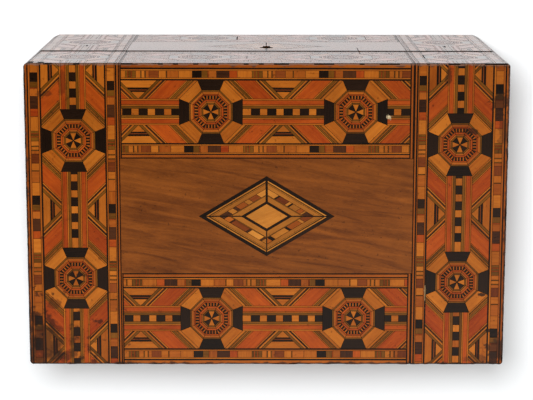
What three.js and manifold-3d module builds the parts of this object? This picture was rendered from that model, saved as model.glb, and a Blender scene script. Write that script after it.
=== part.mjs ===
// A veneered wooden box with a deep lift-off lid, its outside dressed with parquetry:
// friezes and corner columns set with octagonal medallions around walnut fields,
// and a lozenge in the middle of the lid and of the front.
// Millimetres, +Z up, front facing -Y, origin on the table under the middle of the box.
import * as THREE from 'three';
import { mergeVertices } from 'three/addons/utils/BufferGeometryUtils.js';
import Module from 'manifold-3d';

// Overall size of the closed box
const width = 300;
const depth = 192;
const baseHeight = 104.6;
const lidHeight = 70;
const partingGap = 0.4;

// Boards and veneer
const wallBoard = 9;
const topBoard = 8;
const bottomBoard = 8;
const veneer = 1.5;
const seam = 0.1;

// Wear: the edges of the lid's top and of the underside are rounded over, the upright corners more so
const arris = 0.9;
const cornerRound = 1.8;
const arrisSteps = 3;
const cornerSteps = 4;

// Parquetry panels
const columnWidth = 58.8;
const lidFriezeWidth = 59.4;
const baseFriezeHeight = 51;

// Medallions: their size, the banding outside them, and the spacing of a pair along its panel
const medallionAcross = 39.2;
const outerBand = 10.6;
const friezePitch = 89.6;
const columnPitch = 87.6;

// Where the middle of each pair of medallions stands along its panel
const topFriezeShift = -10.2;
const topLeftColumnShift = -1.6;
const topRightColumnShift = -4;
const lidFrontShift = -2.4;
const baseFrontShift = -4.7;

// Lozenges
const lidLozengeLength = 85;
const lidLozengeHeight = 51;
const frontLozengeLength = 86;
const frontLozengeHeight = 50;

// Keyhole in the front lozenge, its middle a little above the middle of the lozenge
const keyholeBow = 4;
const keyholeSlot = 4.8;
const keyholeLength = 14;
const keyholeRise = 5;
const keyholeSteps = 8;

// How far a blank reaches past the face that it is trimmed to
const trimAllowance = 2;

const walnut = new THREE.MeshStandardMaterial({ color: 0x7b4424, roughness: 0.35, metalness: 0 });
const parquetry = new THREE.MeshStandardMaterial({ color: 0xb9702d, roughness: 0.35, metalness: 0 });
const ebonised = new THREE.MeshStandardMaterial({ color: 0x2b2620, roughness: 0.35, metalness: 0 });
const satinwood = new THREE.MeshStandardMaterial({ color: 0xc98637, roughness: 0.35, metalness: 0 });
const carcaseWood = new THREE.MeshStandardMaterial({ color: 0x9a6a42, roughness: 0.6, metalness: 0 });

const wasm = await Module();
wasm.setup();

// Booleans

function toSolid(geometry) {
  const bare = geometry.clone();
  bare.deleteAttribute('normal');
  bare.deleteAttribute('uv');
  const merged = mergeVertices(bare, 1e-4);
  return new wasm.Manifold(new wasm.Mesh({
    numProp: 3,
    vertProperties: merged.attributes.position.array,
    triVerts: new Uint32Array(merged.index.array),
  }));
}

function toGeometry(solid) {
  const mesh = solid.getMesh();
  const geometry = new THREE.BufferGeometry();
  geometry.setAttribute('position', new THREE.BufferAttribute(new Float32Array(mesh.vertProperties), 3));
  geometry.setIndex(new THREE.BufferAttribute(new Uint32Array(mesh.triVerts), 1));
  const flat = geometry.toNonIndexed();
  flat.computeVertexNormals();
  return flat;
}

// Outlines

function rectangle(left, right, low, high) {
  return new THREE.Shape([
    new THREE.Vector2(left, low),
    new THREE.Vector2(right, low),
    new THREE.Vector2(right, high),
    new THREE.Vector2(left, high),
  ]);
}

// A regular octagon standing on a flat side; grow moves every side outwards.
function octagonPoints([x, y], across, grow = 0) {
  const radius = (across / 2 + grow) / Math.cos(Math.PI / 8);
  return Array.from({ length: 8 }, (_, corner) => {
    const angle = ((corner + 0.5) * Math.PI) / 4;
    return new THREE.Vector2(x + radius * Math.cos(angle), y + radius * Math.sin(angle));
  });
}

// A lozenge around (0, middle); grow moves every side outwards.
function lozengePoints(middle, length, height, grow = 0) {
  const slant = Math.hypot(length, height);
  const reach = length / 2 + (grow * slant) / height;
  const rise = height / 2 + (grow * slant) / length;
  return [
    new THREE.Vector2(reach, middle),
    new THREE.Vector2(0, middle + rise),
    new THREE.Vector2(-reach, middle),
    new THREE.Vector2(0, middle - rise),
  ];
}

// A round bow over a straight slot, as tall as keyholeLength and centred on (0, middle).
function keyhole(middle) {
  const foot = middle - keyholeLength / 2;
  const bowHeight = middle + keyholeLength / 2 - keyholeBow;
  const spread = Math.asin(keyholeSlot / 2 / keyholeBow);
  const outline = new THREE.Path();
  outline.moveTo(keyholeSlot / 2, foot);
  outline.lineTo(-keyholeSlot / 2, foot);
  outline.absarc(0, bowHeight, keyholeBow, 1.5 * Math.PI - spread, spread - Math.PI / 2, true);
  outline.closePath();
  return outline;
}

// A block from z = low to z = high with rounded upright corners and rounded-over ends.
function roundedBlock(low, high) {
  const x = width / 2 - cornerRound;
  const y = depth / 2 - cornerRound;
  const outline = new THREE.Shape();
  outline.absarc(x, y, cornerRound, 0, Math.PI / 2);
  outline.absarc(-x, y, cornerRound, Math.PI / 2, Math.PI);
  outline.absarc(-x, -y, cornerRound, Math.PI, 1.5 * Math.PI);
  outline.absarc(x, -y, cornerRound, 1.5 * Math.PI, 2 * Math.PI);
  const block = new THREE.ExtrudeGeometry(outline, {
    depth: high - low - 2 * arris,
    curveSegments: cornerSteps,
    bevelEnabled: true,
    bevelThickness: arris,
    bevelSize: arris,
    bevelOffset: -arris,
    bevelSegments: arrisSteps,
  });
  return block.translate(0, 0, low + arris);
}

// Placing: each side of a section is a group whose local z = 0 is the finished outer face,
// x runs to the right and y upwards for someone looking at that side.

function sideGroup(place, turn) {
  const group = new THREE.Group();
  group.position.set(...place);
  group.rotation.set(...turn, 'ZYX');
  group.updateMatrix();
  return group;
}

// The worn outline of a section trims its veneers: they are left square where base and lid meet.
function makeSection(height, wornLow, wornHigh) {
  const quarter = Math.PI / 2;
  const sides = {
    front: sideGroup([0, -depth / 2, 0], [quarter, 0, 0]),
    back: sideGroup([0, depth / 2, 0], [quarter, 0, 2 * quarter]),
    left: sideGroup([-width / 2, 0, 0], [quarter, 0, -quarter]),
    right: sideGroup([width / 2, 0, 0], [quarter, 0, quarter]),
    top: sideGroup([0, 0, height], [0, 0, 0]),
  };
  const group = new THREE.Group();
  group.add(...Object.values(sides));
  return { group, sides, envelope: toSolid(roundedBlock(wornLow, wornHigh)) };
}

function addMesh(group, name, geometry, material, place = [0, 0, 0]) {
  const mesh = new THREE.Mesh(geometry, material);
  mesh.name = name;
  mesh.position.set(...place);
  group.add(mesh);
}

// A veneer piece has its back a seam off the boards, and its outer edges follow the worn arrises.
function addVeneer(section, side, name, outline, material) {
  const group = section.sides[side];
  const blank = new THREE.ExtrudeGeometry(outline, {
    depth: veneer + trimAllowance,
    bevelEnabled: false,
    curveSegments: keyholeSteps,
  });
  blank.translate(0, 0, -veneer);
  const solid = toSolid(blank.applyMatrix4(group.matrix)).intersect(section.envelope);
  const geometry = toGeometry(solid).applyMatrix4(group.matrix.clone().invert());
  addMesh(group, name, geometry, material);
}

// A parquetry panel with an octagonal medallion let into it at each named centre.
function addInlaidPanel(section, side, name, outline, centres) {
  for (const [place, centre] of Object.entries(centres)) {
    outline.holes.push(new THREE.Path(octagonPoints(centre, medallionAcross, seam)));
    const medallion = new THREE.Shape(octagonPoints(centre, medallionAcross));
    addVeneer(section, side, `${name}_${place}`, medallion, ebonised);
  }
  addVeneer(section, side, name, outline, parquetry);
}

// A walnut field with a lozenge let into it around (0, middle), and a keyhole through it if asked.
function addLozengeField(section, side, name, outline, middle, length, height, hole) {
  outline.holes.push(new THREE.Path(lozengePoints(middle, length, height, seam)));
  addVeneer(section, side, `${name}_field`, outline, walnut);
  const lozenge = new THREE.Shape(lozengePoints(middle, length, height));
  if (hole) lozenge.holes.push(hole);
  addVeneer(section, side, `${name}_lozenge`, lozenge, satinwood);
}

// A wall board stands behind the veneer of its side, from low to high.
function addWallBoard(section, side, name, halfLength, low, high, hole) {
  const outline = rectangle(-halfLength, halfLength, low, high);
  if (hole) outline.holes.push(hole);
  const board = new THREE.ExtrudeGeometry(outline, {
    depth: wallBoard,
    bevelEnabled: false,
    curveSegments: keyholeSteps,
  });
  addMesh(section.sides[side], name, board, carcaseWood, [0, 0, -veneer - seam - wallBoard]);
}

// The four walls of a section: front and back run full length, left and right stand between them.
function addWalls(section, prefix, low, high, frontHole) {
  const longHalf = width / 2 - veneer - seam;
  const shortHalf = depth / 2 - veneer - wallBoard - 2 * seam;
  addWallBoard(section, 'front', `${prefix}_front_board`, longHalf, low, high, frontHole);
  addWallBoard(section, 'back', `${prefix}_back_board`, longHalf, low, high);
  addWallBoard(section, 'left', `${prefix}_left_board`, shortHalf, low, high);
  addWallBoard(section, 'right', `${prefix}_right_board`, shortHalf, low, high);
}

// A flat board that closes a section, within the veneers of the sides, from z = low.
function addFlatBoard(section, name, thickness, low) {
  const skin = 2 * (veneer + seam);
  const board = new THREE.BoxGeometry(width - skin, depth - skin, thickness);
  addMesh(section.group, name, board, carcaseWood, [0, 0, low + thickness / 2]);
}

// The plain sides have one veneer each: the back runs full length, the ends stand inside it.
function addPlainVeneers(section, prefix, low, high) {
  const endHalf = depth / 2 - veneer - seam;
  const backHalf = width / 2 + trimAllowance;
  addVeneer(section, 'back', `${prefix}_back_veneer`, rectangle(-backHalf, backHalf, low, high), walnut);
  addVeneer(section, 'left', `${prefix}_left_veneer`, rectangle(-endHalf, endHalf, low, high), walnut);
  addVeneer(section, 'right', `${prefix}_right_veneer`, rectangle(-endHalf, endHalf, low, high), walnut);
}

// Half of the stretch between the corner columns, as a frieze or a field fills it.
const middleHalf = width / 2 - columnWidth - seam;

// A medallion's middle stands this far in from the outer edge of its panel.
const medallionInset = outerBand + medallionAcross / 2;

// The two corner columns of the front, each with one medallion at the given height.
function addFrontColumns(section, prefix, low, high, middle) {
  const inner = width / 2 - columnWidth;
  const outer = width / 2 + trimAllowance;
  const centre = width / 2 - medallionInset;
  addInlaidPanel(section, 'front', `${prefix}_front_left_column`,
    rectangle(-outer, -inner, low, high), { medallion: [-centre, middle] });
  addInlaidPanel(section, 'front', `${prefix}_front_right_column`,
    rectangle(inner, outer, low, high), { medallion: [centre, middle] });
}

// The frieze between the columns, with a pair of medallions about x = shift.
function addFrieze(section, side, name, low, high, middle, shift) {
  addInlaidPanel(section, side, name, rectangle(-middleHalf, middleHalf, low, high), {
    left_medallion: [shift - friezePitch / 2, middle],
    right_medallion: [shift + friezePitch / 2, middle],
  });
}

// A column down one end of the lid's top, with a pair of medallions about y = shift.
function addTopColumn(section, name, left, right, middle, shift) {
  const outer = depth / 2 + trimAllowance;
  addInlaidPanel(section, 'top', name, rectangle(left, right, -outer, outer), {
    front_medallion: [middle, shift - columnPitch / 2],
    back_medallion: [middle, shift + columnPitch / 2],
  });
}

function makeBase() {
  const base = makeSection(baseHeight, 0, baseHeight + trimAllowance);
  const low = -trimAllowance;
  const rim = baseHeight;
  const lozengeMiddle = (baseFriezeHeight + seam + baseHeight) / 2;
  const keyholeMiddle = lozengeMiddle + keyholeRise;

  addFlatBoard(base, 'base_bottom_board', bottomBoard, 0);
  addWalls(base, 'base', bottomBoard + seam, baseHeight, keyhole(keyholeMiddle));
  addFrontColumns(base, 'base', low, rim, baseHeight / 2);
  addFrieze(base, 'front', 'base_front_frieze', low, baseFriezeHeight, baseFriezeHeight / 2, baseFrontShift);
  const field = rectangle(-middleHalf, middleHalf, baseFriezeHeight + seam, rim);
  addLozengeField(base, 'front', 'base_front', field, lozengeMiddle,
    frontLozengeLength, frontLozengeHeight, keyhole(keyholeMiddle));
  addPlainVeneers(base, 'base', low, rim);
  return base.group;
}

function makeLid() {
  const lid = makeSection(lidHeight, -trimAllowance, lidHeight);
  lid.group.position.z = baseHeight + partingGap;
  const low = 0;
  const high = lidHeight - veneer - seam;

  addFlatBoard(lid, 'lid_top_board', topBoard, high - topBoard);
  addWalls(lid, 'lid', low, high - topBoard - seam);
  addFrontColumns(lid, 'lid', low, high, high / 2);
  addFrieze(lid, 'front', 'lid_front_frieze', low, high, high / 2, lidFrontShift);
  addPlainVeneers(lid, 'lid', low, high);

  const inner = width / 2 - columnWidth;
  const outer = width / 2 + trimAllowance;
  const columnMiddle = width / 2 - medallionInset;
  addTopColumn(lid, 'lid_top_left_column', -outer, -inner, -columnMiddle, topLeftColumnShift);
  addTopColumn(lid, 'lid_top_right_column', inner, outer, columnMiddle, topRightColumnShift);

  const friezeInner = depth / 2 - lidFriezeWidth;
  const friezeOuter = depth / 2 + trimAllowance;
  const friezeMiddle = depth / 2 - medallionInset;
  addFrieze(lid, 'top', 'lid_top_front_frieze', -friezeOuter, -friezeInner, -friezeMiddle, topFriezeShift);
  addFrieze(lid, 'top', 'lid_top_back_frieze', friezeInner, friezeOuter, friezeMiddle, topFriezeShift);
  const field = rectangle(-middleHalf, middleHalf, seam - friezeInner, friezeInner - seam);
  addLozengeField(lid, 'top', 'lid_top', field, 0, lidLozengeLength, lidLozengeHeight);
  return lid.group;
}

const box = new THREE.Group();
box.add(makeBase(), makeLid());

export default box;
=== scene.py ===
import math
import random

import bmesh
import bpy
from mathutils import Matrix, Vector, noise


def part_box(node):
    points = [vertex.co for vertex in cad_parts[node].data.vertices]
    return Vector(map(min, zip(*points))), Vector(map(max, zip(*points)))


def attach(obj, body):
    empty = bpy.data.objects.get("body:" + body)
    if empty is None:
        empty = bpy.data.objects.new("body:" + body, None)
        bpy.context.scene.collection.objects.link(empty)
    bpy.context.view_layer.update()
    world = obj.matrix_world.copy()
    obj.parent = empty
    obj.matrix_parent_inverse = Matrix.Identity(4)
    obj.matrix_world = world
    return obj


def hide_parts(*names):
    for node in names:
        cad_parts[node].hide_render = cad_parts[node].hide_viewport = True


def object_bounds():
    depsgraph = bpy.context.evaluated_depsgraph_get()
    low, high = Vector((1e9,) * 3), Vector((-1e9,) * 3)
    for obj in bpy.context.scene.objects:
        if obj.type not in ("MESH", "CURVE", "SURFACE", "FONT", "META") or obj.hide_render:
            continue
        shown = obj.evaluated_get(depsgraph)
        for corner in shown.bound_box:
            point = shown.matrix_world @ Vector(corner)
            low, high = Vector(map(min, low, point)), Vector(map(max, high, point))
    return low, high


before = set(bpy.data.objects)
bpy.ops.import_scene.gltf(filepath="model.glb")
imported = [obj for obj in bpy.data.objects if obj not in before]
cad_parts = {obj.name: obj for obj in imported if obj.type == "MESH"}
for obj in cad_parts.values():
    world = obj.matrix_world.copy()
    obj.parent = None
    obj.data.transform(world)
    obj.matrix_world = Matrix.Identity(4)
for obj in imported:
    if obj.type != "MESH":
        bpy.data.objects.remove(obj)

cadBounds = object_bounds()
dice = random.Random(1840)

# The bench is drawn in millimetres. A finished panel is turned on to its side of the box and made metres.
mm = 0.001
halfLong = cadBounds[1].x / mm
halfDeep = cadBounds[1].y / mm
boxTop = cadBounds[1].z / mm
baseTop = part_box("base_front_field")[1].z / mm
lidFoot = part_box("lid_front_frieze")[0].z / mm
partingHeight = (baseTop + lidFoot) / 2
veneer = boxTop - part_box("lid_top_field")[0].z / mm
woodStock = 4000  # every slip's grain is taken from somewhere in a square of wood this wide
cutTolerance = 1e-6
mergeReach = 1e-4

sideAxes = {  # right, up and out of each side, as seen from outside
    "top": ((1, 0, 0), (0, 1, 0), (0, 0, 1)),
    "front": ((1, 0, 0), (0, 0, 1), (0, -1, 0)),
    "back": ((-1, 0, 0), (0, 0, 1), (0, 1, 0)),
    "left": ((0, -1, 0), (0, 0, 1), (-1, 0, 0)),
    "right": ((0, 1, 0), (0, 0, 1), (1, 0, 0)),
}
sideReach = {"top": boxTop, "front": halfDeep, "back": halfDeep, "left": halfLong, "right": halfLong}


def tint(colour):  # a screen colour, 0 to 255, as the shader's linear colour
    def linear(step):
        step = step / 255
        return step / 12.92 if step < 0.04045 else ((step + 0.055) / 1.055) ** 2.4
    return tuple(linear(step) for step in colour) + (1,)


def addNode(tree, kind, values=None, **settings):
    node = tree.nodes.new(kind)
    for key, value in settings.items():
        setattr(node, key, value)
    for key, value in (values or {}).items():
        node.inputs[key].default_value = value
    return node


def plug(tree, value, socket):
    if isinstance(value, bpy.types.NodeSocket):
        tree.links.new(value, socket)
    else:
        socket.default_value = value


def addMath(tree, operation, first, second=0):
    node = addNode(tree, "ShaderNodeMath", operation=operation)
    plug(tree, first, node.inputs[0])
    plug(tree, second, node.inputs[1])
    return node.outputs[0]


def addRange(tree, value, fromLow, fromHigh, toLow, toHigh):
    values = {"From Min": fromLow, "From Max": fromHigh, "To Min": toLow, "To Max": toHigh}
    node = addNode(tree, "ShaderNodeMapRange", values)
    plug(tree, value, node.inputs["Value"])
    return node.outputs[0]


def addMix(tree, factor, first, second, blend="MIX"):
    node = addNode(tree, "ShaderNodeMix", data_type="RGBA", blend_type=blend)
    plug(tree, factor, node.inputs[0])
    plug(tree, first, node.inputs[6])
    plug(tree, second, node.inputs[7])
    return node.outputs[2]


def addNoise(tree, place, scale, detail, stretch=(1, 1, 1), swirl=0):
    mapping = addNode(tree, "ShaderNodeMapping", {"Scale": stretch})
    values = {"Scale": scale, "Detail": detail, "Roughness": 0.6, "Distortion": swirl}
    cloud = addNode(tree, "ShaderNodeTexNoise", values)
    plug(tree, place, mapping.inputs["Vector"])
    plug(tree, mapping.outputs[0], cloud.inputs["Vector"])
    return cloud.outputs[0]


def startMaterial(name):
    material = bpy.data.materials.new(name)
    material.use_nodes = True
    tree = material.node_tree
    return material, tree, tree.nodes["Principled BSDF"]


agingAndPaintedLight = {
    # the front and back tones paint light and shade: darker at the front, lighter at the back
    "cloudScale": 40, "cloudFrom": 0.35, "cloudTo": 0.6, "cloudDark": 0.8, "frontTone": 0.91, "backTone": 1.1,
    "grimeScale": 420, "grimeFrom": 0.66, "grimeTo": 0.74, "grimeDark": 0.55,
    "raggedScale": 170, "raggedNear": 3.2, "raggedFar": 0.35, "burnStrength": 0.75,
    "frayScale": 260, "frayNear": 1.7, "frayFar": 0.4, "wornScale": 220, "wornNear": 0.7, "wornFar": 1.9,
    "burnPlace": (0.141, 0.083, 0.175), "burnReach": 0.034, "burnColour": (32, 15, 7),
    # the front arris colour is wear plus a painted reflection of the glare on the front
    "arrisReach": 0.0021, "arrisColour": (40, 21, 11), "frontArrisColour": (104, 74, 58), "arrisShare": 0.9,
    # the gap entries paint a dark band along the parting line: dirt and painted shadow in the gap
    "gapReach": 0.0012, "gapColour": (16, 10, 7), "gapStrength": 0.9, "frontDull": 0.12,
    # spots on the lid in millimetres: place, half its width and height, strength and colour
    "spots": [
        ((-75.1, -62.6), (1.9, 1.7), 0.95, (180, 162, 128)),
        # the narrow dark spot beside the pale chip is the chip's painted shadow
        ((-72.9, -62.6), (1, 3), 0.9, (20, 12, 7)),
        ((-144, -72), (4.5, 6), 0.75, (24, 14, 9)),
        ((-147, -55), (3, 9), 0.5, (40, 22, 13)),
        ((-126, -54), (5, 2.4), 0.75, (26, 14, 9)),
        ((-112, -88), (2.2, 6), 0.6, (30, 17, 10)),
        ((-136, 50.3), (3.6, 1.3), 0.9, (18, 11, 7)),
        ((-99.7, 50), (0.4, 5), 0.5, (190, 156, 110)),
        ((-146, 86), (6, 9), 0.75, (34, 19, 12)),
        ((-141, 73.5), (4, 1.4), 0.9, (22, 13, 8)),
        ((-132, 92), (9, 3), 0.5, (50, 26, 14)),
        ((131, 90), (12, 4), 0.55, (36, 17, 9)),
        ((146, 66), (3.5, 5), 0.75, (24, 12, 8)),
        ((145, 82), (3, 5), 0.7, (20, 11, 7)),
        ((134, 57), (5, 3.5), 0.55, (60, 26, 12)),
        ((126, -84), (3, 10), 0.45, (40, 20, 11)),
        ((137, -77), (6, 2), 0.5, (36, 18, 10)),
    ],
}


def makePatinaAndPaintedLight():  # old varnish, dirt, the scorched corner, a painted light fall from front to back, painted shade in the parting gap and a painted reflection on the front arrises, the same over every wood
    tree = bpy.data.node_groups.new("patina", "ShaderNodeTree")
    tree.interface.new_socket("Wood", in_out="INPUT", socket_type="NodeSocketColor")
    tree.interface.new_socket("Aged", in_out="OUTPUT", socket_type="NodeSocketColor")
    tree.interface.new_socket("Rubbed", in_out="OUTPUT", socket_type="NodeSocketFloat")
    start = addNode(tree, "NodeGroupInput")
    end = addNode(tree, "NodeGroupOutput")
    place = addNode(tree, "ShaderNodeTexCoord").outputs["Object"]
    axes = addNode(tree, "ShaderNodeSeparateXYZ")
    plug(tree, place, axes.inputs[0])
    cloud = addNoise(tree, place, agingAndPaintedLight["cloudScale"], 5)
    shade = addRange(tree, cloud, agingAndPaintedLight["cloudFrom"], agingAndPaintedLight["cloudTo"], agingAndPaintedLight["cloudDark"], 1)
    # painted light: every wood is darker towards the front and lighter towards the back, for how the light falls
    tone = addRange(tree, axes.outputs["Y"], -halfDeep * mm, halfDeep * mm, agingAndPaintedLight["frontTone"], agingAndPaintedLight["backTone"])
    shaded = addMix(tree, 1.0, start.outputs[0], addMath(tree, "MULTIPLY", shade, tone), "MULTIPLY")
    speck = addNoise(tree, place, agingAndPaintedLight["grimeScale"], 2)
    grime = addRange(tree, speck, agingAndPaintedLight["grimeFrom"], agingAndPaintedLight["grimeTo"], 1, agingAndPaintedLight["grimeDark"])
    grimy = addMix(tree, 1.0, shaded, grime, "MULTIPLY")
    reach = addNode(tree, "ShaderNodeVectorMath", {1: agingAndPaintedLight["burnPlace"]}, operation="DISTANCE")
    plug(tree, place, reach.inputs[0])
    ragged = addNoise(tree, place, agingAndPaintedLight["raggedScale"], 5)
    ragged = addRange(tree, ragged, 0.34, 0.66, agingAndPaintedLight["raggedNear"], agingAndPaintedLight["raggedFar"])
    spread = addMath(tree, "MULTIPLY", reach.outputs["Value"], ragged)
    burn = addRange(tree, spread, agingAndPaintedLight["burnReach"] * 0.4, agingAndPaintedLight["burnReach"], agingAndPaintedLight["burnStrength"], 0)
    burnt = addMix(tree, burn, grimy, tint(agingAndPaintedLight["burnColour"]))
    frayed = addNoise(tree, place, agingAndPaintedLight["frayScale"], 4)
    frayed = addRange(tree, frayed, 0.3, 0.7, agingAndPaintedLight["frayNear"], agingAndPaintedLight["frayFar"])
    onTop = addMath(tree, "GREATER_THAN", axes.outputs["Z"], (boxTop - veneer) * mm)
    for (x, y), (halfWide, halfHigh), strength, colour in agingAndPaintedLight["spots"]:
        across = addMath(tree, "DIVIDE", addMath(tree, "SUBTRACT", axes.outputs["X"], x * mm), halfWide * mm)
        upward = addMath(tree, "DIVIDE", addMath(tree, "SUBTRACT", axes.outputs["Y"], y * mm), halfHigh * mm)
        away = addMath(tree, "SQRT", addMath(tree, "ADD", addMath(tree, "POWER", across, 2),
                                             addMath(tree, "POWER", upward, 2)))
        spot = addRange(tree, addMath(tree, "MULTIPLY", away, frayed), 0.7, 1.1, strength, 0)
        burnt = addMix(tree, addMath(tree, "MULTIPLY", spot, onTop), burnt, tint(colour))

    def fromSide(axis, reach):  # how far a place lies inside the pair of sides across an axis
        return addMath(tree, "SUBTRACT", reach * mm, addMath(tree, "ABSOLUTE", axes.outputs[axis]))
    sideways, deep = fromSide("X", halfLong), fromSide("Y", halfDeep)
    under = addMath(tree, "SUBTRACT", boxTop * mm, axes.outputs["Z"])
    nearSide = addMath(tree, "MINIMUM", sideways, deep)
    nextSide = addMath(tree, "MINIMUM", addMath(tree, "MAXIMUM", sideways, deep), under)
    nextSide = addMath(tree, "MINIMUM", nextSide, axes.outputs["Z"])
    toArris = addMath(tree, "MAXIMUM", nearSide, nextSide)
    uneven = addNoise(tree, place, agingAndPaintedLight["wornScale"], 3)
    uneven = addRange(tree, uneven, 0.35, 0.65, agingAndPaintedLight["wornNear"], agingAndPaintedLight["wornFar"])
    worn = addMath(tree, "MULTIPLY", toArris, uneven)
    rub = addRange(tree, worn, agingAndPaintedLight["arrisReach"] * 0.5, agingAndPaintedLight["arrisReach"], agingAndPaintedLight["arrisShare"], 0)
    inFront = addMath(tree, "LESS_THAN", axes.outputs["Y"], (veneer - halfDeep) * mm)
    # on the front faces the worn arris is lighter and greyer: wear with a painted reflection of the glare
    arrisColour = addMix(tree, inFront, tint(agingAndPaintedLight["arrisColour"]), tint(agingAndPaintedLight["frontArrisColour"]))
    rubbed = addMix(tree, rub, burnt, arrisColour)
    # painted shade and dirt: a dark band along the parting gap between lid and base
    toGap = addMath(tree, "SUBTRACT", axes.outputs["Z"], partingHeight * mm)
    toGap = addMath(tree, "ABSOLUTE", toGap)
    gapShadeAndDirt = addRange(tree, toGap, agingAndPaintedLight["gapReach"] * 0.6, agingAndPaintedLight["gapReach"], agingAndPaintedLight["gapStrength"], 0)
    plug(tree, addMix(tree, gapShadeAndDirt, rubbed, tint(agingAndPaintedLight["gapColour"])), end.inputs[0])
    dull = addMath(tree, "MAXIMUM", rub, addMath(tree, "MULTIPLY", inFront, agingAndPaintedLight["frontDull"]))
    plug(tree, addMath(tree, "MAXIMUM", dull, gapShadeAndDirt), end.inputs[1])
    return tree


# dark and light are screen colours, tone the spread from slip to slip, figure the streaks per millimetre
woodLooks = {
    "ebony": dict(dark=(17, 8, 3), light=(40, 22, 10), tone=0.4, figure=(0.08, 0.9), pores=0.4),
    "satinwood": dict(dark=(142, 67, 13), light=(192, 109, 31), tone=0.36, figure=(0.05, 0.6), pores=0.45),
    "orangeWood": dict(dark=(130, 58, 12), light=(176, 93, 27), tone=0.36, figure=(0.05, 0.6), pores=0.45),
    "redWood": dict(dark=(128, 40, 8), light=(182, 81, 20), tone=0.26, figure=(0.04, 0.5), pores=0.45),
    "oliveWood": dict(dark=(78, 44, 8), light=(130, 78, 18), tone=0.34, figure=(0.06, 0.8), pores=0.45),
    "brownWood": dict(dark=(34, 16, 8), light=(80, 42, 18), tone=0.3, figure=(0.06, 0.7), pores=0.4),
    "roseWood": dict(dark=(88, 36, 10), light=(142, 68, 22), tone=0.4, figure=(0.06, 0.7), pores=0.4),
    "boxwood": dict(dark=(166, 96, 29), light=(208, 134, 53), tone=0.3, figure=(0.05, 0.5), pores=0.4),
    "tanWood": dict(dark=(138, 78, 22), light=(182, 112, 40), tone=0.4, figure=(0.05, 0.6), pores=0.4),
    "walnut": dict(dark=(80, 37, 10), light=(146, 79, 25), tone=0.1, figure=(0.022, 0.22), pores=0.35, swirl=0.9),
}
varnish = {"studioBright": 1.3, "gloss": (0.08, 0.14), "bump": 0.15, "ior": 1.46}
grain = {"slipScale": 0.004, "slipGain": 1.3, "poreScale": (0.35, 5, 1), "spread": 0.17, "rubbedGloss": 0.5}
glue = {
    "dark": (10, 7, 5), "light": (30, 18, 10), "scale": 300, "detail": 3, "stretch": (1, 1, 1),
    "gloss": 0.8, "sheen": 0.08, "hairline": 0.12, "narrowest": 0.44,
}


def stain(colour):  # the wood's own colour, for a studio in which white paper is just past white
    return tuple(part / varnish["studioBright"] for part in tint(colour)[:3]) + (1,)


def makeWood(name, look, patina):
    wood, tree, shader = startMaterial(name)
    along = addNode(tree, "ShaderNodeUVMap", uv_map="grain").outputs[0]
    slip = addNoise(tree, along, grain["slipScale"], 0)
    streak = addNoise(tree, along, 1, 4, (*look["figure"], 1), look.get("swirl", 0))
    pore = addNoise(tree, along, 1, 3, grain["poreScale"])
    slipShare = look["tone"] * grain["slipGain"]
    rest = 1 - look["tone"]
    total = addMath(tree, "MULTIPLY", slip, slipShare)
    total = addMath(tree, "ADD", total, addMath(tree, "MULTIPLY", streak, rest * (1 - look["pores"])))
    total = addMath(tree, "ADD", total, addMath(tree, "MULTIPLY", pore, rest * look["pores"]))
    middle = 0.5 * (slipShare + rest)
    light = addRange(tree, total, middle - grain["spread"], middle + grain["spread"], 0, 1)
    agedAndPaintedLight = addNode(tree, "ShaderNodeGroup", node_tree=patina)
    plug(tree, addMix(tree, light, stain(look["dark"]), stain(look["light"])), agedAndPaintedLight.inputs[0])
    plug(tree, agedAndPaintedLight.outputs["Aged"], shader.inputs["Base Color"])
    gloss = addRange(tree, pore, 0.3, 0.7, *varnish["gloss"])
    dull = addMath(tree, "MULTIPLY", agedAndPaintedLight.outputs["Rubbed"], grain["rubbedGloss"])
    plug(tree, addMath(tree, "ADD", gloss, dull), shader.inputs["Roughness"])
    bump = addNode(tree, "ShaderNodeBump", {"Strength": varnish["bump"], "Distance": 0.0001})
    plug(tree, addMath(tree, "ADD", pore, streak), bump.inputs["Height"])
    plug(tree, bump.outputs[0], shader.inputs["Normal"])
    shader.inputs["IOR"].default_value = varnish["ior"]
    return wood


def makeUnpolished(name, look):  # the dark glue and dirt in the joints, also painted shade in the parting gap, and the bare boards
    material, tree, shader = startMaterial(name)
    place = addNode(tree, "ShaderNodeTexCoord").outputs["Object"]
    figure = addNoise(tree, place, look["scale"], look["detail"], look["stretch"])
    light = addRange(tree, figure, 0.35, 0.65, 0, 1)
    plug(tree, addMix(tree, light, tint(look["dark"]), tint(look["light"])), shader.inputs["Base Color"])
    shader.inputs["Roughness"].default_value = look["gloss"]
    shader.inputs["Specular IOR Level"].default_value = look["sheen"]
    return material


patina = makePatinaAndPaintedLight()
woods = {name: makeWood(name, look, patina) for name, look in woodLooks.items()}
woods["glue"] = makeUnpolished("glue", glue)
woodNumbers = {name: number for number, name in enumerate(woods)}
print("woods mixed")


def select(*pieces):
    bpy.ops.object.select_all(action="DESELECT")
    for piece in pieces:
        piece.select_set(True)
    bpy.context.view_layer.objects.active = pieces[0] if pieces else None


def startSheet(name, left, low, right, high):  # a bare rectangle of veneer on the bench, open for cutting
    select()
    middle = ((left + right) / 2, (low + high) / 2, 0)
    bpy.ops.mesh.primitive_plane_add(size=1, location=middle)
    sheet = bpy.context.object
    sheet.name = name
    sheet.scale = (right - left, high - low, 1)
    bpy.ops.object.transform_apply()
    sheet.data.uv_layers[0].name = "grain"
    for wood in woods.values():
        sheet.data.materials.append(wood)
    openPiece(sheet)
    return sheet


def openPiece(piece):
    select(piece)
    bpy.ops.object.mode_set(mode="EDIT")
    bpy.ops.mesh.select_mode(type="FACE")


def closePiece():
    bpy.ops.object.mode_set(mode="OBJECT")
    return bpy.context.object


def anywhere(x, y):
    return True


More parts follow.
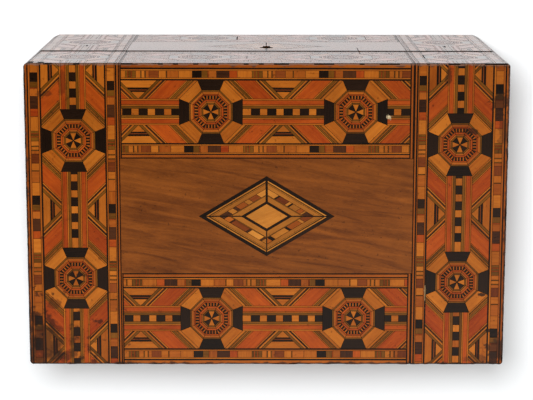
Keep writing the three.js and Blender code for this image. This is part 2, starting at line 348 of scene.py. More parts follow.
def between(left, low, right, high):
    return lambda x, y: left < x < right and low < y < high


def pick(where):  # selects the faces whose middle passes the test, and counts them
    sheet = bpy.context.edit_object.data
    drawing = bmesh.from_edit_mesh(sheet)
    for face in drawing.faces:
        face.select_set(False)
    chosen = 0
    for face in drawing.faces:
        middle = face.calc_center_median()
        if where(middle.x, middle.y):
            face.select_set(True)
            chosen += 1
    bmesh.update_edit_mesh(sheet)
    return chosen


def cut(where, place, across, drop=None):  # one knife line through place, square to across
    if pick(where):
        bpy.ops.mesh.bisect(
            plane_co=(place[0], place[1], 0), plane_no=(across[0], across[1], 0), threshold=cutTolerance,
            clear_outer=drop == "ahead")


def discard(where):
    if pick(where):
        bpy.ops.mesh.delete(type="FACE")


def inlay(where, wood, angle=0):  # one slip of wood, with its grain at an angle in degrees
    sheet = bpy.context.edit_object.data
    drawing = bmesh.from_edit_mesh(sheet)
    layer = drawing.loops.layers.uv["grain"]
    shift = Vector((dice.uniform(0, woodStock), dice.uniform(0, woodStock)))
    turn = Matrix.Rotation(math.radians(-angle), 2)
    for face in drawing.faces:
        middle = face.calc_center_median()
        if where(middle.x, middle.y):
            face.material_index = woodNumbers[wood]
            for corner in face.loops:
                corner[layer].uv = turn @ corner.vert.co.xy + shift
    bmesh.update_edit_mesh(sheet)


def showGlue():  # a hairline of dark glue round every slip that is wide enough to show it
    sheet = bpy.context.edit_object.data
    drawing = bmesh.from_edit_mesh(sheet)
    for face in drawing.faces:
        face.select_set(2 * face.calc_area() > glue["narrowest"] * face.calc_perimeter())
    bmesh.update_edit_mesh(sheet)
    bpy.ops.mesh.hide(unselected=True)
    bpy.ops.mesh.inset(thickness=glue["hairline"], use_individual=True)
    bpy.ops.mesh.select_all(action="INVERT")
    bpy.context.edit_object.active_material_index = woodNumbers["glue"]
    bpy.ops.object.material_slot_assign()
    bpy.ops.mesh.reveal(select=False)


def copyPiece(piece, name, turn=0, x=0, y=0):  # a copy with its own mesh, other wood, turned and moved
    select(piece)
    bpy.ops.object.duplicate(linked=False)
    twin = bpy.context.object
    twin.name = name
    twin.rotation_euler.z = math.radians(turn)
    twin.location = (x, y, 0)
    bpy.ops.object.transform_apply()
    shift = Vector((dice.uniform(0, woodStock), dice.uniform(0, woodStock)))
    for corner in twin.data.uv_layers["grain"].data:
        corner.uv += shift
    return twin


def joinPieces(pieces, name):
    select(*pieces)
    bpy.ops.object.join()
    piece = bpy.context.view_layer.objects.active
    piece.name = name
    return piece


def removePiece(piece):
    select(piece)
    bpy.ops.object.delete()


# The medallion: an octagon of mitred rings, built from one eighth
medallion = {
    "reach": 19.6,
    "rings": [13.5, 12.6, 11.0, 10.2, 7.8, 6.6, 5.6, 4.7],
    "ringWoods": ["oliveWood", "orangeWood", "redWood", None, "redWood", "orangeWood", "oliveWood"],
    "tickWide": 0.93, "halfTicks": 4,
}
halfSide = medallion["reach"] * math.tan(math.pi / 8)


def makeMedallion():
    reach = medallion["reach"]
    rings = medallion["rings"]
    eighth = startSheet("medallionEighth", 0, -halfSide, reach, halfSide)
    slope = math.pi / 8
    cut(anywhere, (0, 0), (-math.sin(slope), math.cos(slope)), "ahead")
    cut(anywhere, (0, 0), (-math.sin(slope), -math.cos(slope)), "ahead")
    for ring in rings:
        cut(anywhere, (ring, 0), (1, 0))
    ticks = between(rings[4], -reach, rings[3], reach)
    halfTicks = medallion["halfTicks"]
    for step in range(1 - halfTicks, halfTicks):
        cut(ticks, (0, step * medallion["tickWide"]), (0, 1))
    closePiece()
    eighths = [copyPiece(eighth, "eighth", 45 * step) for step in range(8)]
    removePiece(eighth)
    piece = joinPieces(eighths, "medallionPattern")
    openPiece(piece)
    bpy.ops.mesh.select_all(action="SELECT")
    bpy.ops.mesh.remove_doubles(threshold=mergeReach)
    for step in range(8):
        angle = math.radians(45 * step)

        def measure(x, y):
            return x * math.cos(angle) + y * math.sin(angle), y * math.cos(angle) - x * math.sin(angle)

        def slip(low, high, left=-reach, right=reach):
            def inside(x, y):
                out, over = measure(x, y)
                return low < out < high and left < over < right and abs(over) < out * math.tan(slope)
            return inside

        square = step % 2 == 0
        inlay(slip(rings[0], reach), "ebony" if square else "satinwood", 45 * step + 90)
        for high, low, wood in zip(rings, rings[1:], medallion["ringWoods"]):
            if wood:
                inlay(slip(low, high), wood, 45 * step + 90)
        for tick in range(-halfTicks, halfTicks):
            left = tick * medallion["tickWide"]
            right = left + medallion["tickWide"]
            edges = (left if tick > -halfTicks else -reach, right if tick < halfTicks - 1 else reach)
            inlay(slip(rings[4], rings[3], *edges), "ebony" if tick % 2 else "orangeWood", 45 * step)
        inlay(slip(0, rings[7]), "satinwood" if square else "ebony", 45 * step)
    showGlue()
    return closePiece()


# The core of a frieze or column between two medallions: a belt of squares between triangles and slanted stripes
core = {
    "beltRows": [(2.05, None), (3.7, "oliveWood"), (4.5, "satinwood"), (7.2, "redWood"), (halfSide, "satinwood")],
    "squareWide": 5.55, "squareGap": 4.55,
    "stripes": [(2.2, "oliveWood"), (3.8, "satinwood"), (5.0, "brownWood"), (6.2, "satinwood"),
                (18.4, "redWood"), (19.4, "satinwood"), (21.3, "oliveWood"), (22.1, "satinwood"),
                (23.1, "oliveWood"), (60, "satinwood")],
    "triangle": [(4.5, "satinwood"), (5.6, "ebony"), (6.3, "roseWood"), (7.1, "ebony"), (20, "satinwood")],
}


def makeCore(pitch, name):
    reach = medallion["reach"]
    half = pitch / 2
    beltEnd = half - reach
    base = reach - halfSide  # half the width of a triangle's foot
    startSheet(name, -half, -reach, half, reach)
    for edge, wood in core["beltRows"]:
        cut(anywhere, (0, edge), (0, 1))
        cut(anywhere, (0, -edge), (0, 1))
    for end in (-beltEnd, beltEnd):
        cut(lambda x, y: abs(y) < halfSide, (end, 0), (1, 0))
    discard(lambda x, y: abs(y) < halfSide and abs(x) > beltEnd)

    previous = core["beltRows"][0][0]
    for edge, wood in core["beltRows"][1:]:
        for up in (-1, 1):
            inlay(lambda x, y: previous < y * up < edge, wood)
        previous = edge
    for up in (-1, 1):
        def zone(x, y):
            return y * up > halfSide
        for along in (-1, 1):
            cut(zone, (along * base, up * reach), (along, -up))
        for along in (-1, 1):
            def outOf(x, y):
                return x * along - y * up + reach - base

            def striped(x, y):
                return zone(x, y) and outOf(x, y) > 0
            for edge, wood in core["stripes"][:-1]:
                cut(striped, (along * (base + edge), up * reach), (along, -up))
            corner = half - halfSide
            cut(striped, (along * corner, up * reach), (along, -up))
            discard(lambda x, y: zone(x, y) and outOf(x, y) > corner - base)
            start = 0
            for edge, wood in core["stripes"]:
                inlay(lambda x, y: zone(x, y) and start < outOf(x, y) < edge, wood, 45 * along * up)
                start = edge

        def triangle(x, y):
            return zone(x, y) and abs(x) - y * up + reach < base
        for edge, wood in core["triangle"][:-1]:
            cut(triangle, (0, up * (reach - edge)), (0, 1))
        start = 0
        for edge, wood in core["triangle"]:
            inlay(lambda x, y: triangle(x, y) and start < reach - y * up < edge, wood)
            start = edge
    return closePiece()


# The squares down the middle, begun with a light gap at the end that way points to
def layBelt(x, y, beltEnd, way, lastGap):
    squareHigh = core["beltRows"][0][0]
    far = beltEnd
    wide = lastGap
    dark = False
    belt = between(x - beltEnd, y - squareHigh, x + beltEnd, y + squareHigh)
    while far > -beltEnd:
        near = max(far - wide, -beltEnd)
        left, right = sorted((x + far * way, x + near * way))
        if near > -beltEnd:
            cut(belt, (x + near * way, y), (1, 0))
        wood, angle = ("ebony", 90) if dark else ("satinwood", 0)
        inlay(lambda over, up: belt(over, up) and left < over < right, wood, angle)
        far = near
        dark = not dark
        wide = core["squareWide"] if dark else core["squareGap"]


def widthOf(rows):
    return sum(wide for wood, wide in rows)


# The sticks: bands of small coloured blocks, the same run over and over
stick = [
    ("ebony", 5.8), ("oliveWood", 3.8), ("redWood", 0.6), ("orangeWood", 4.8), ("brownWood", 7.9),
    ("redWood", 5.0), ("satinwood", 9.2), ("oliveWood", 1.4), ("redWood", 0.6), ("oliveWood", 1.4),
    ("redWood", 0.6), ("oliveWood", 2.4), ("satinwood", 3.0), ("oliveWood", 0.6), ("satinwood", 2.0),
    ("oliveWood", 0.6), ("orangeWood", 2.0), ("roseWood", 6.0), ("satinwood", 4.6), ("oliveWood", 0.5),
    ("orangeWood", 7.3), ("satinwood", 8.4),
]
stickLong = widthOf(stick)
stickLaps = 5  # runs laid either way from the start, more than any panel takes
bandRows = {  # from the outer edge inwards, and from the core inwards
    "friezeOuter": [("orangeWood", 2.8), ("ebony", 0.9), ("satinwood", 0.9), ("stick", 4.4),
                    ("satinwood", 0.8), ("ebony", 0.8)],
    "friezeInner": [("ebony", 0.75), ("satinwood", 0.75), ("stick", 4.3), ("satinwood", 0.8),
                    ("ebony", 0.6), ("orangeWood", 1.8), ("ebony", 0.6)],
    "columnOuter": [("orangeWood", 2.1), ("ebony", 0.7), ("orangeWood", 1.1), ("stick", 4.8),
                    ("satinwood", 1.1), ("ebony", 0.8)],
    "columnInner": [("ebony", 0.8), ("satinwood", 0.8), ("stick", 4.5), ("satinwood", 0.6),
                    ("ebony", 0.8), ("orangeWood", 1.0), ("ebony", 0.5)],
    "wideFrieze": [("orangeWood", 2.8), ("ebony", 0.9), ("walnut", 3.6), ("ebony", 0.8), ("satinwood", 0.9),
                   ("stick", 4.4), ("satinwood", 0.8), ("ebony", 0.8)],
}


# A black block begins at start, way is the run's direction and stretch its scale
def layStick(low, high, first, last, start, way, stretch):
    for lap in range(-stickLaps, stickLaps + 1):
        place = start + lap * stickLong * stretch * way
        for wood, wide in stick:
            left, right = sorted((place, place + wide * stretch * way))
            place += wide * stretch * way
            if right > first and left < last:
                for edge in (left, right):
                    if first < edge < last:
                        cut(between(first, low, last, high), (edge, 0), (1, 0))
                inlay(between(left, low, right, high), wood, dice.choice((0, 90, 90)))


def layBand(rows, low, high, first, last, run, name):
    startSheet(name, first, low, last, high)
    scale = (high - low) / widthOf(rows)
    edge = low
    for wood, wide in rows:
        top = edge + wide * scale
        if top < high - mergeReach:
            cut(anywhere, (0, top), (0, 1))
        if wood == "stick":
            layStick(edge, top, first, last, *run)
        else:
            inlay(between(first, edge, last, top), wood)
        edge = top
    return closePiece()


def layUprights(rows, start, depth, name):  # strips across the end of a frieze
    startSheet(name, start, 0, start + widthOf(rows), depth)
    edge = start
    for wood, wide in rows:
        if (wood, wide) != rows[-1]:
            cut(anywhere, (edge + wide, 0), (1, 0))
        inlay(between(edge, 0, edge + wide, depth), wood, 90)
        edge += wide
    return closePiece()


# edge is the panel's side on the box's outline, outer and inner say where a black block of its sticks starts,
# its way and its stretch, and laps the turn of each core with its last light gap
evenLaps = [(0, 5.2), (0, 5.2), (0, 5.2)]
narrowEnd = [("ebony", 0.6), ("orangeWood", 0.5)]
wideEnd = [("ebony", 0.6), ("orangeWood", 1.3), ("ebony", 0.55)]
friezes = {
    "lid_top_front_frieze": dict(
        side="top", edge="low", outer=(137.1, -1, 0.995), inner=(142.3, -1, 0.99),
        laps=[(180, 6.0), (0, 5.2), (0, 5.2)], starts=wideEnd, ends=narrowEnd),
    "lid_top_back_frieze": dict(
        side="top", edge="high", outer=(45.1, 1, 0.993), inner=(49.7, -1, 0.993),
        laps=[(180, 4.8), (180, 5.2), (0, 5.8)], starts=narrowEnd[::-1], ends=wideEnd),
    "lid_front_frieze": dict(
        side="front", edge="high", outer=(30.0, 1, 1), inner=(52.0, -1, 1),
        laps=evenLaps, starts=narrowEnd[::-1], ends=narrowEnd, wide=True),
    "base_front_frieze": dict(
        side="front", edge="low", outer=(36.0, 1, 1), inner=(60.0, -1, 1),
        laps=evenLaps, starts=narrowEnd[::-1], ends=narrowEnd),
}
columns = {
    "lid_top_right_column": dict(
        side="top", edge="right", outer=(5.8, 1, 0.983), inner=(11.1, 1, 0.983),
        laps=[(180, 5.3), (0, 6.4), (180, 2.2)]),
    "lid_top_left_column": dict(
        side="top", edge="left", outer=(179.15, -1, 0.991), inner=(184.3, -1, 0.986),
        laps=[(0, 2.6), (180, 6.4), (0, 4.6)]),
    "lid_front_right_column": dict(
        side="front", edge="right", outer=(20.0, 1, 1), inner=(26.0, 1, 1), laps=evenLaps),
    "lid_front_left_column": dict(
        side="front", edge="left", outer=(22.0, -1, 1), inner=(31.0, -1, 1), laps=evenLaps),
    "base_front_right_column": dict(
        side="front", edge="right", outer=(12.0, 1, 1), inner=(33.0, 1, 1), laps=evenLaps),
    "base_front_left_column": dict(
        side="front", edge="left", outer=(70.0, -1, 1), inner=(84.0, -1, 1), laps=evenLaps),
}
edgeTurns = {"low": 0, "high": 180, "right": 90, "left": -90}


def spanOf(node, side):  # a node's left, low, right and high on its side of the box
    low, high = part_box(node)
    right, up, out = (Vector(axis) for axis in sideAxes[side])
    across = sorted((low.dot(right) / mm, high.dot(right) / mm))
    upward = sorted((low.dot(up) / mm, high.dot(up) / mm))
    return across[0], upward[0], across[1], upward[1]


def middleOf(node, side):
    left, low, right, high = spanOf(node, side)
    return (left + right) / 2, (low + high) / 2


def benchOrigin(span, edge):  # where the bench's origin lies on the side, for a panel with that outer edge
    left, low, right, high = span
    return {"low": (left, low), "high": (right, high), "right": (right, low), "left": (left, high)}[edge]


def benchPlace(span, edge, x, y):  # a place on the side, measured on the bench
    origin = Vector(benchOrigin(span, edge))
    return Matrix.Rotation(math.radians(-edgeTurns[edge]), 2) @ (Vector((x, y)) - origin)


def cutNearEdges(length, depth, edges):  # extra lines close to the box's outline, which the wear then bends
    for step in wear["steps"]:
        for name in edges:
            places = {
                "low": (0, step), "high": (0, depth - step), "start": (step, 0), "end": (length - step, 0)}
            cut(anywhere, places[name], (0, 1) if name in ("low", "high") else (1, 0))
    reach = wear["steps"][-1]

    def nearEdge(x, y):
        insets = {"low": y, "high": depth - y, "start": x, "end": length - x}
        return min(insets[name] for name in edges) < reach
    pick(nearEdge)
    bpy.ops.mesh.hide(unselected=True)
    for across, far in (((1, 0, 0), length), ((0, 1, 0), depth)):
        for step in range(1, int(far / wear["ribs"])):
            bpy.ops.mesh.select_all(action="SELECT")
            place = Vector(across) * step * wear["ribs"]
            bpy.ops.mesh.bisect(plane_co=place, plane_no=across, threshold=cutTolerance)
    bpy.ops.mesh.reveal(select=False)


wear = {
    "arris": 0.85, "arrisSpread": 0.5, "arrisScale": 0.11, "rim": 0.9, "foot": 0.9,
    "corners": {(1, 1): 2.6, (-1, 1): 2.2, (1, -1): 2.8, (-1, -1): 2.4},
    "wander": 0.12, "wanderScale": 0.09, "wanderFrom": 3,
    "steps": (0.12, 0.45, 0.9, 1.4, 2.0, 2.7), "rimSteps": 3, "ribs": 3.1,
    "footCorner": 1.9, "footCornerHigh": 14,
    "chips": 0.5, "chipsFrom": 0.05, "chipScale": 0.4, "backChips": 1.5, "backChipScale": 0.13,
    # soiled is how far the dirt and painted shade of the parting gap reach
    "lean": 0.38, "soiled": 0.75, "soiledArris": 0.8, "soiledShare": 0.1, "soiledScale": 0.15,
}


def roundOff(distance, radius):
    return radius - math.sqrt(radius ** 2 - (radius - distance) ** 2) if distance < radius else 0


# Hand-laid lines wander a little, and the box's arrises and corners are worn round
def weather(piece, side, span):
    right, up, out = (Vector(axis) for axis in sideAxes[side])
    for vertex in piece.data.vertices:
        place = vertex.co / mm
        across, upward = place.dot(right), place.dot(up)
        inset = min(across - span[0], span[2] - across, upward - span[1], span[3] - upward)
        drift = noise.noise_vector(place * wear["wanderScale"]) * wear["wander"]
        drift *= max(0, min(1, inset / wear["wanderFrom"]))
        place += right * drift.x + up * drift.y
        signs = (1 if place.x > 0 else -1, 1 if place.y > 0 else -1)
        sideways = halfLong - abs(place.x)
        deep = halfDeep - abs(place.y)
        edge = max(0, min(sideways, deep))
        spot = noise.noise(Vector((place.x, place.y, 0)) * wear["arrisScale"])
        inward = Vector((-signs[0], 0, 0)) if sideways < deep else Vector((0, -signs[1], 0))
        under = boxTop - place.z
        if under < veneer:
            arris = wear["arris"] * (1 + wear["arrisSpread"] * spot)
            place.z -= roundOff(edge, arris) * (1 - under / veneer)
            chip = max(0, noise.noise(place * wear["chipScale"]) - wear["chipsFrom"]) * wear["chips"]
            if signs[1] > 0 and deep < sideways:
                chip += max(0, noise.noise(place * wear["backChipScale"])) * wear["backChips"]
            place += inward * chip * max(0, 1 - edge) * (1 - under / veneer)
        elif place.z > baseTop and edge < veneer:
            place += inward * wear["lean"] * (under / (boxTop - lidFoot)) * (1 - edge / veneer)
        for level, radius in ((0, wear["foot"]), (baseTop, wear["rim"]), (lidFoot, wear["rim"])):
            if edge < veneer:
                place += inward * roundOff(abs(place.z - level), radius) * (1 - edge / veneer)
        corner = wear["corners"][signs]
        if signs[1] < 0:
            corner += wear["footCorner"] * max(0, 1 - place.z / wear["footCornerHigh"])
        if sideways < corner and deep < corner:
            first, second = corner - sideways, corner - deep
            shrink = max(first, second) / math.hypot(first, second)
            place.x = signs[0] * (halfLong - corner + first * shrink)
            place.y = signs[1] * (halfDeep - corner + second * shrink)
        place.x = max(-halfLong, min(halfLong, place.x))
        place.y = max(-halfDeep, min(halfDeep, place.y))
        vertex.co = place * mm


# cracks and dark joints on the front: how far across and up it they run, and how wide, in millimetres
cracks = {
    "base_front_field": [(-60, 86, 104.6, 0.5)],
    "lid_front_frieze": [(-60.3, 105, 122, 0.5), (12.5, 132, 150, 0.4)],
    "lid_front_right_column": [(100.8, 127, 146, 0.9), (146, 166, 173, 3.5), (139.5, 169, 173.2, 4)],
    "lid_front_left_column": [(-100, 127, 145, 0.8)],
    "base_front_frieze": [(20, 15, 36, 0.7), (-69, 15, 35, 0.7)],
    "base_front_right_column": [(120, 69, 78, 1.4)],
    "base_front_left_column": [(-119, 74, 83, 1.3)],
}


def openCracks(node, span, edge):
    for x, low, high, wide in cracks.get(node, []):
        ends = [benchPlace(span, edge, x - wide / 2, low), benchPlace(span, edge, x + wide / 2, high)]
        left, right = sorted(end.x for end in ends)
        bottom, top = sorted(end.y for end in ends)
        for place in ((left, 0), (right, 0)):
            cut(anywhere, place, (1, 0))
        for place in ((0, bottom), (0, top)):
            cut(anywhere, place, (0, 1))
        inlay(between(left, bottom, right, top), "glue")


def soilAndShadeRims(piece):  # dirt and painted shade in the gap along the parting line, and dirt in patches along the lid's arris
    for face in piece.data.polygons:
        place = face.center / mm
        # faces along the parting line take the dark glue as dirt and painted shade in the gap
        partingShadeAndDirt = abs(place.z - partingHeight) < wear["soiled"] + (lidFoot - baseTop) / 2
        edge = min(halfLong - abs(place.x), halfDeep - abs(place.y))
        arris = edge < wear["soiledArris"] and boxTop - place.z < wear["soiledArris"]
        if partingShadeAndDirt or arris and noise.noise(place * wear["soiledScale"]) > wear["soiledShare"]:
            face.material_index = woodNumbers["glue"]


def settle(piece, side, turn, origin):  # from the bench to its place on the box
    right, up, out = (Vector(axis) for axis in sideAxes[side])
    axes = Matrix((right, up, out)).transposed().to_4x4()
    lift = Matrix.Translation((origin[0], origin[1], sideReach[side]))
    select(piece)
    piece.matrix_world = Matrix.Scale(mm, 4) @ axes @ lift @ Matrix.Rotation(math.radians(turn), 4, "Z")
    bpy.ops.object.transform_apply()


def finishPiece(piece, node):
    soilAndShadeRims(piece)
    select(piece)
    bpy.ops.object.material_slot_remove_unused()
    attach(piece, "root")
    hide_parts(node)


def thicken(piece):  # the sheet becomes a closed slip of veneer, downwards from its face
    select(piece)
    thickness = piece.modifiers.new("thickness", "SOLIDIFY")
    thickness.thickness = veneer
    thickness.offset = -1
    bpy.ops.object.modifier_apply(modifier=thickness.name)


def pieceName(node):
    words = node.split("_")
    return words[0] + "".join(word.capitalize() for word in words[1:])


def outlineEdges(plan):
    if plan["side"] == "top" and plan["edge"] in ("low", "high"):
        return ("low",)
    return ("low", "start", "end") + (("high",) if "wide" in plan else ())


def makePanel(node, plan, kind):
    side, edge, pitch = plan["side"], plan["edge"], nearest[kind]
    outerRows, innerRows = bandRows[kind + "Outer"], bandRows[kind + "Inner"]
    if "wide" in plan:
        outerRows, innerRows = bandRows["wideFrieze"], bandRows["wideFrieze"][::-1]
    span = spanOf(node, side)
    length, depth = span[2] - span[0], span[3] - span[1]
    if edge in ("right", "left"):
        length, depth = depth, length
    discs = sorted(
        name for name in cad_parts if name.startswith(node + "_") and name.endswith("medallion"))
    centres = [benchPlace(span, edge, *middleOf(disc, side)) for disc in discs]
    middle = centres[0].y
    reach = medallion["reach"]
    starts, ends = plan.get("starts", []), plan.get("ends", [])
    first = widthOf(starts)
    last = length - widthOf(ends)
    parts = [
        layBand(outerRows, 0, middle - reach, first, last, plan["outer"], "outerBand"),
        layBand(innerRows, middle + reach, depth, first, last, plan["inner"], "innerBand"),
    ]
    if starts:
        parts.append(layUprights(starts, 0, depth, "startUprights"))
        parts.append(layUprights(ends, last, depth, "endUprights"))
    for lap, (turn, lastGap) in enumerate(plan["laps"]):
        place = min(centre.x for centre in centres) + (lap - 0.5) * pitch
        if place - pitch / 2 < last:
            part = copyPiece(patterns[kind], "corePart", turn, place, middle)
            openPiece(part)
            layBelt(place, middle, pitch / 2 - reach, -1 if turn else 1, lastGap)
            cut(anywhere, (first, 0), (-1, 0), "ahead")
            cut(anywhere, (last, 0), (1, 0), "ahead")
            parts.append(closePiece())
    panel = joinPieces(parts, pieceName(node))
    openPiece(panel)
    showGlue()
    openCracks(node, span, edge)
    cutNearEdges(length, depth, outlineEdges(plan))
    closePiece()
    thicken(panel)
    settle(panel, side, edgeTurns[edge], benchOrigin(span, edge))
    weather(panel, side, span)
    finishPiece(panel, node)
    for disc in discs:
        piece = copyPiece(medallionPattern, pieceName(disc))
        thicken(piece)
        settle(piece, side, 0, middleOf(disc, side))
        weather(piece, side, span)
        finishPiece(piece, disc)


medallionPattern = makeMedallion()
print("medallion cut")
nearest = {"frieze": 89.6, "column": 87.6}
patterns = {kind: makeCore(pitch, kind + "Core") for kind, pitch in nearest.items()}
print("cores cut")
for kind, plans in (("frieze", friezes), ("column", columns)):
    for node, plan in plans.items():
        makePanel(node, plan, kind)
        print(node, "laid")
for pattern in (medallionPattern, *patterns.values()):
    removePiece(pattern)


# The lozenges: rings between the black border and the light middle, one of them a row of slanted blocks
lozenge = {
    "rings": [(1.0, "ebony"), (0.905, "boxwood"), (0.865, "oliveWood"), (0.84, "boxwood"),
              (0.815, "tanWood"), (0.70, "blocks"), (0.545, "oliveWood"), (0.525, "tanWood"),
              (0.375, "ebony"), (0.31, "boxwood")],
    "mitreWide": 0.5, "topMitreWide": 1.2, "middleAngle": 20,
    # the blocks of each quarter, from its upper or lower point to its side point
    "blocks": {
        (-1, 1): [(-0.39, "boxwood"), (-0.16, "roseWood"), (-0.02, "tanWood"), (0.22, "orangeWood"),
                  (0.3, "brownWood"), (0.45, "tanWood"), (0.7, "brownWood")],
        (1, 1): [(-0.34, "boxwood"), (-0.3, "ebony"), (-0.03, "roseWood"), (0.05, "boxwood"),
                 (0.09, "ebony"), (0.3, "tanWood"), (0.42, "orangeWood"), (0.47, "tanWood"), (0.7, "brownWood")],
        (-1, -1): [(-0.54, "tanWood"), (-0.48, "brownWood"), (-0.13, "boxwood"), (-0.07, "brownWood"),
                   (0.36, "roseWood"), (0.4, "brownWood"), (0.56, "orangeWood"), (0.7, "brownWood")],
        (1, -1): [(-0.53, "orangeWood"), (-0.44, "ebony"), (-0.03, "boxwood"), (0.03, "ebony"),
                  (0.34, "orangeWood"), (0.42, "boxwood"), (0.7, "roseWood")],
    },
}


def makeLozenge(node, side):
    left, low, right, high = spanOf(node, side)
    halfWide, halfHigh = (right - left) / 2, (high - low) / 2
    startSheet(pieceName(node), -halfWide, -halfHigh, halfWide, halfHigh)
    across = {(over, up): (over / halfWide, up / halfHigh) for over in (-1, 1) for up in (-1, 1)}
    for (over, up), normal in across.items():
        cut(anywhere, (over * halfWide, 0), normal, "ahead")
    cut(anywhere, (0, 0), (0, 1))
    cut(anywhere, (0, 0), (1, 0))
    rings = lozenge["rings"]

    def shareOf(x, y):
        return abs(x) / halfWide + abs(y) / halfHigh

    for (over, up), normal in across.items():
        def quarter(x, y):
            return x * over > 0 and y * up > 0
        for share, wood in rings[1:]:
            cut(quarter, (over * halfWide * share, 0), normal)

        def ring(outside, inside):
            return lambda x, y: quarter(x, y) and inside < shareOf(x, y) < outside

        inner = [share for share, wood in rings[1:]] + [0]
        angle = math.degrees(math.atan2(-up * halfHigh, over * halfWide))
        for (share, wood), inside in zip(rings, inner):
            if wood != "blocks":
                inlay(ring(share, inside), wood, angle)
                continue
            start = -1
            row = ring(share, inside)
            blocks = lozenge["blocks"][over, up]
            for edge, blockWood in blocks:
                if (edge, blockWood) != blocks[-1]:
                    place = (over * halfWide * edge, 0)
                    cut(row, place, (over / halfWide, -up / halfHigh))

                def block(x, y):
                    along = abs(x) / halfWide - abs(y) / halfHigh
                    return row(x, y) and start < along < edge
                inlay(block, blockWood, angle)
                start = edge

    def centre(x, y):
        return shareOf(x, y) < rings[-1][0]
    pick(centre)
    bpy.ops.mesh.dissolve_faces(use_verts=True)
    inlay(centre, "boxwood", lozenge["middleAngle"])
    for over, up in ((-1, 0), (1, 0), (0, 1), (0, -1)):  # black mitre lines
        half = (lozenge["topMitreWide"] if up == 1 else lozenge["mitreWide"]) / 2

        def arm(x, y):
            return x * over + y * up > 0 and rings[-1][0] < shareOf(x, y) < rings[1][0]
        for offset in (-half, half):
            cut(arm, (offset * abs(up), offset * abs(over)), (abs(up), abs(over)))
        inlay(lambda x, y: arm(x, y) and abs(x * up + y * over) < half, "ebony", 0)
    showGlue()
    piece = closePiece()
    thicken(piece)
    return piece


keyhole = {
    "bow": 4.0, "slot": 4.8, "long": 14.0, "rise": 5.0, "dirt": 0.4, "split": 0.2,
    "bowSides": 48, "cutterDeep": 4 * veneer,
}
slotFoot = keyhole["rise"] - keyhole["long"] / 2
bowMiddle = keyhole["rise"] + keyhole["long"] / 2 - keyhole["bow"]


# An eight-sided patch of dirt round the bow, and a split through it from the lozenge's head to its foot
def soilKeyhole(piece):
    reach = keyhole["bow"] + keyhole["dirt"]
    normals = [(math.cos(step * math.pi / 4), math.sin(step * math.pi / 4)) for step in range(8)]
    openPiece(piece)
    for across in normals:
        cut(anywhere, (across[0] * reach, bowMiddle + across[1] * reach), across)
    for edge in (-keyhole["split"], keyhole["split"]):
        cut(anywhere, (edge, 0), (1, 0))

    def dirty(x, y):
        out = max(x * across[0] + (y - bowMiddle) * across[1] for across in normals)
        return out < reach or abs(x) < keyhole["split"]
    inlay(dirty, "glue")
    closePiece()


def cutKeyhole(piece):  # a round bow over a slot, through the lozenge
    select()
    bpy.ops.mesh.primitive_cylinder_add(
        vertices=keyhole["bowSides"], radius=keyhole["bow"], depth=keyhole["cutterDeep"],
        location=(0, bowMiddle, 0))
    bow = bpy.context.object
    bpy.ops.mesh.primitive_cube_add(size=1, location=(0, (slotFoot + bowMiddle) / 2, 0))
    slot = bpy.context.object
    slot.scale = (keyhole["slot"], bowMiddle - slotFoot, keyhole["cutterDeep"])
    for tool in (bow, slot):
        select(tool)
        bpy.ops.object.transform_apply()
        select(piece)
        hole = piece.modifiers.new("hole", "BOOLEAN")
        hole.operation = "DIFFERENCE"
        hole.solver = "EXACT"
        hole.object = tool
        bpy.ops.object.modifier_apply(modifier=hole.name)
        removePiece(tool)


for node, side, turn in (("lid_top_lozenge", "top", 180), ("base_front_lozenge", "front", 0)):
    piece = makeLozenge(node, side)
    if side == "front":
        soilKeyhole(piece)
        cutKeyhole(piece)
    settle(piece, side, turn, middleOf(node, side))
    weather(piece, side, spanOf(node.replace("lozenge", "field"), side))
    finishPiece(piece, node)
print("lozenges laid")


# The walnut fields round the lozenges
fieldAngle = -9  # how the grain runs across them, in degrees
for node, side in (("lid_top_field", "top"), ("base_front_field", "front")):
    span = spanOf(node, side)
    left, low, right, high = spanOf(node.replace("field", "lozenge"), side)
    middle = middleOf(node.replace("field", "lozenge"), side)
    halfWide, halfHigh = (right - left) / 2, (high - low) / 2
    field = startSheet(pieceName(node), *span)
    inlay(anywhere, "walnut", fieldAngle)
    for over in (-1, 1):
        for up in (-1, 1):
            cut(anywhere, (middle[0] + over * halfWide, middle[1]), (over / halfWide, up / halfHigh))
    discard(lambda x, y: abs(x - middle[0]) / halfWide + abs(y - middle[1]) / halfHigh < 1)
    if side == "front":
        openCracks(node, (0, 0, 0, 0), "low")
        for step in wear["steps"][:wear["rimSteps"]]:
            cut(anywhere, (0, span[3] - step), (0, 1))
    closePiece()
    thicken(field)
    settle(field, side, 0, (0, 0))
    weather(field, side, span)
    finishPiece(field, node)
print("walnut fields laid")


# The back and the two ends are plain walnut, cross-banded and strung
plainSides = {
    "angle": 3, "crossBand": 9.0, "stringRows": [("ebony", 0.8), ("satinwood", 0.8), ("ebony", 0.5)],
}


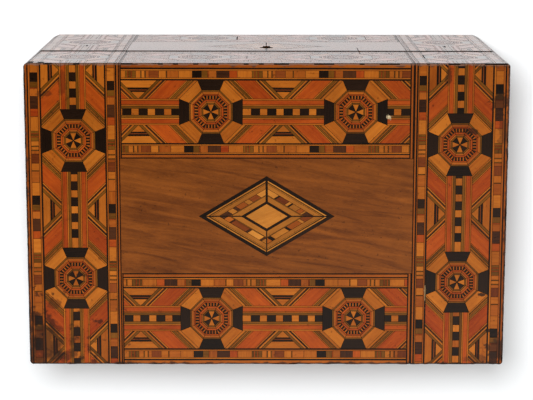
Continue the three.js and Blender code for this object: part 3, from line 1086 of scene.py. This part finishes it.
def makePlainSide(node, side):
    span = spanOf(node, side)
    length, height = span[2] - span[0], span[3] - span[1]
    sheet = startSheet(pieceName(node), 0, 0, length, height)
    insets = [plainSides["crossBand"]]
    for wood, wide in plainSides["stringRows"]:
        insets.append(insets[-1] + wide)
    for inset in insets:
        cut(anywhere, (0, inset), (0, 1))
        cut(anywhere, (0, height - inset), (0, 1))
        cut(anywhere, (inset, 0), (1, 0))
        cut(anywhere, (length - inset, 0), (1, 0))

    def insetOf(x, y):
        return min(x, y, length - x, height - y)
    inlay(lambda x, y: insetOf(x, y) > insets[-1], "walnut", plainSides["angle"])
    band = insets[0]
    for strip, angle in (((0, 0, length, band), 90), ((0, height - band, length, height), 90),
                         ((0, 0, band, height), 0), ((length - band, 0, length, height), 0)):
        inlay(between(*strip), "walnut", angle)
    for outside, inside, (wood, wide) in zip(insets, insets[1:], plainSides["stringRows"]):
        inlay(lambda x, y: outside < insetOf(x, y) < inside, wood)
    cutNearEdges(length, height, ("low", "high", "start", "end"))
    closePiece()
    thicken(sheet)
    settle(sheet, side, 0, (span[0], span[1]))
    weather(sheet, side, span)
    finishPiece(sheet, node)


for part in ("base", "lid"):
    for side in ("back", "left", "right"):
        makePlainSide(f"{part}_{side}_veneer", side)
print("plain sides laid")


# The carcase boards keep their own meshes and get a softwood finish
boards = {
    "dark": (150, 112, 70), "light": (196, 156, 104), "scale": 90, "detail": 4, "stretch": (0.15, 1, 1),
    "gloss": 0.6, "sheen": 0.5,
}
softwood = makeUnpolished("softwood", boards)
for node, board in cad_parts.items():
    if node.endswith("board"):
        board.data.materials.clear()
        board.data.materials.append(softwood)
print("boards finished")


# A pale floor, soft light from over the picture's upper edge, and the camera over the front edge
studio = {
    "floorSize": 6, "floorColour": (249, 252, 255), "floorGloss": 0.9,
    "camera": (0.0044, -0.2258, 1.2839), "view": (-0.00379, 0.19067, -0.98165), "lens": 122.33,
    "sensor": 36, "cameraUp": (0.00086, -0.98165, -0.19067),
    "key": (0.055, -0.29, 1.32), "keySize": 0.235, "keyPower": 15.1, "keyAim": (0, 0, 0.1),
    "skyColour": (0.98, 0.96, 0.92), "skyLow": 0.02, "skyHigh": 0.5, "skyFrom": 0.115, "skyTo": 0.285,
    "skyLean": -0.35, "horizon": 0.57, "horizonFrom": 0.95, "horizonTo": 0.85,
}


def aim(thing, place, direction, up):
    back = -Vector(direction).normalized()
    right = Vector(up).cross(back).normalized()
    turn = Matrix((right, back.cross(right), back)).transposed().to_4x4()
    thing.matrix_world = Matrix.Translation(place) @ turn


select()
bpy.ops.mesh.primitive_plane_add(size=studio["floorSize"], location=(0, 0, 0))
floor = bpy.context.object
floor.name = "floor"
paper, paperTree, paperShader = startMaterial("paper")
paperShader.inputs["Base Color"].default_value = tint(studio["floorColour"])
paperShader.inputs["Roughness"].default_value = studio["floorGloss"]
floor.data.materials.append(paper)

bpy.ops.object.light_add(type="AREA", location=studio["key"])
key = bpy.context.object
key.data.shape = "DISK"
key.data.size = studio["keySize"]
key.data.energy = studio["keyPower"]
key.visible_glossy = False  # the varnish doesn't mirror the lamp
aim(key, studio["key"], Vector(studio["keyAim"]) - Vector(studio["key"]), (0, 1, 0))

world = bpy.data.worlds.new("sky")
bpy.context.scene.world = world
world.use_nodes = True
sky = world.node_tree
sky.nodes["Background"].inputs[0].default_value = (*studio["skyColour"], 1)
outlook = addNode(sky, "ShaderNodeSeparateXYZ")  # dark behind the camera, brighter towards the back of the box
plug(sky, addNode(sky, "ShaderNodeTexCoord").outputs["Generated"], outlook.inputs[0])
aslant = addMath(sky, "MULTIPLY", outlook.outputs["X"], studio["skyLean"])
lean = addMath(sky, "ADD", outlook.outputs["Y"], aslant)
overhead = addRange(sky, lean, studio["skyFrom"], studio["skyTo"], studio["skyLow"], studio["skyHigh"])
aside = addRange(sky, outlook.outputs["Z"], studio["horizonTo"], studio["horizonFrom"], 1, 0)
spread = addNode(sky, "ShaderNodeMix", data_type="FLOAT")
plug(sky, aside, spread.inputs[0])
plug(sky, overhead, spread.inputs[2])
plug(sky, studio["horizon"], spread.inputs[3])
plug(sky, spread.outputs[0], sky.nodes["Background"].inputs[1])

bpy.ops.object.camera_add(location=studio["camera"])
camera = bpy.context.object
camera.data.lens = studio["lens"]
camera.data.sensor_width = studio["sensor"]
aim(camera, studio["camera"], studio["view"], studio["cameraUp"])
bpy.context.scene.camera = camera
bpy.context.scene.view_settings.view_transform = "Standard"
print("studio set")
